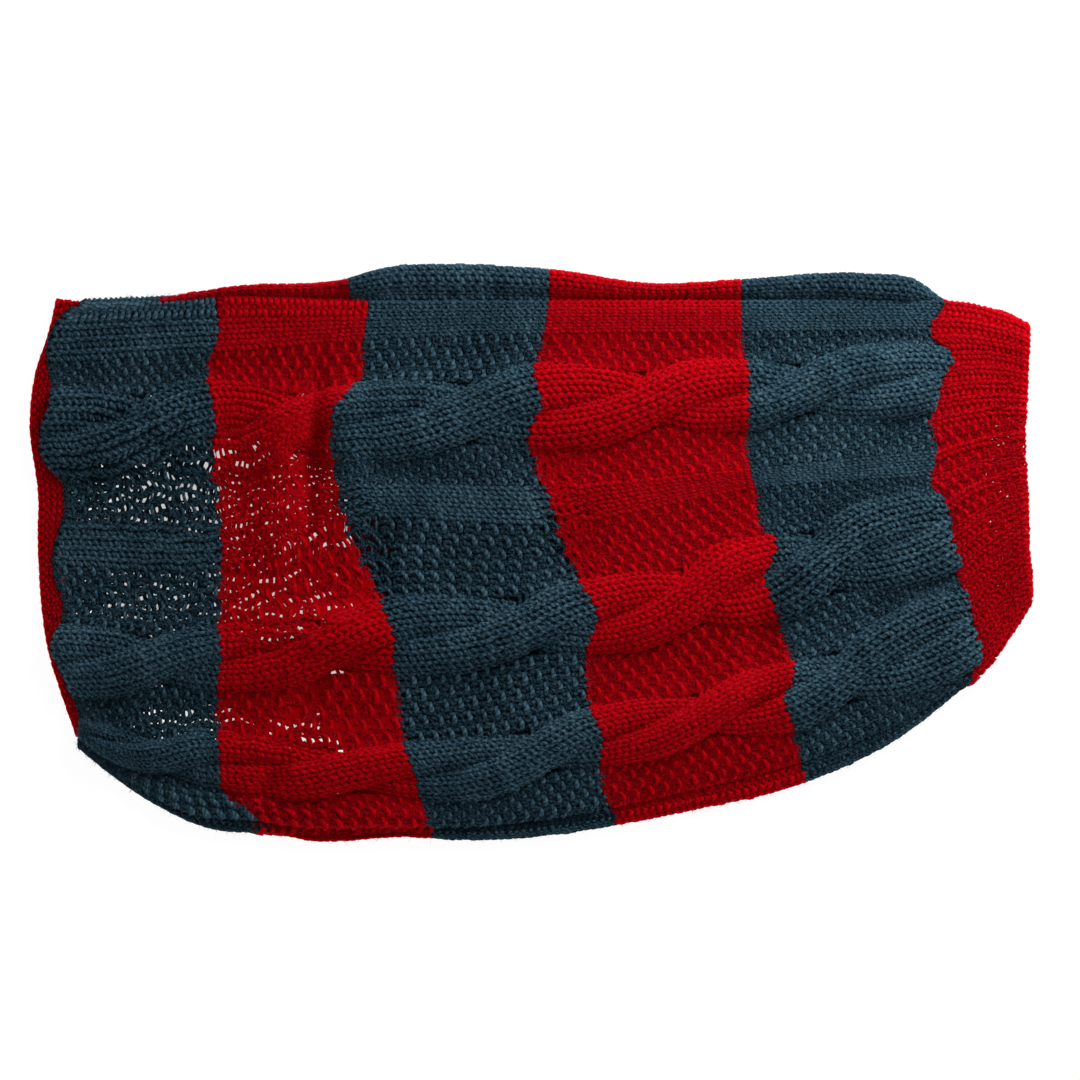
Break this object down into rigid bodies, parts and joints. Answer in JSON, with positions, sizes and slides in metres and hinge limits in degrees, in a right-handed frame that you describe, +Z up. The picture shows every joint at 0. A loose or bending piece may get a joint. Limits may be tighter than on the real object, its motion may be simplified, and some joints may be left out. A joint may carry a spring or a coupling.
{
  "type": "neck gaiter",
  "caption": "Hand-knitted, striped and cabled tube lying flat, with a ribbed collar at the narrow end and a wide open end.",
  "frame": {"origin": "centre of the outline seen from above, on the surface it lies on", "axes": "+X along the tube towards the collar, +Y across the tube, +Z up"},
  "size_m": [0.4831, 0.2775, 0.02],
  "materials": {
    "teal_yarn": "dark teal wool-like yarn, matt and slightly fuzzy",
    "red_yarn": "deep red wool-like yarn, matt and slightly fuzzy",
    "seam_yarn": "selvedges sewn together with the yarn of each stripe"
  },
  "bodies": {
    "root": {"upper_hem": "red_yarn", "upper_band_1_teal": "teal_yarn", "upper_band_2_red": "red_yarn", "upper_band_3_teal": "teal_yarn", "upper_band_4_red": "red_yarn", "upper_band_5_teal": "teal_yarn", "upper_collar": "red_yarn", "under_hem": "red_yarn", "under_band_3_teal": "teal_yarn", "under_band_4_red": "red_yarn", "under_band_5_teal": "teal_yarn", "under_collar": "red_yarn", "side_seam_top": "seam_yarn", "side_seam_bottom": "seam_yarn"}
  },
  "joints": []
}
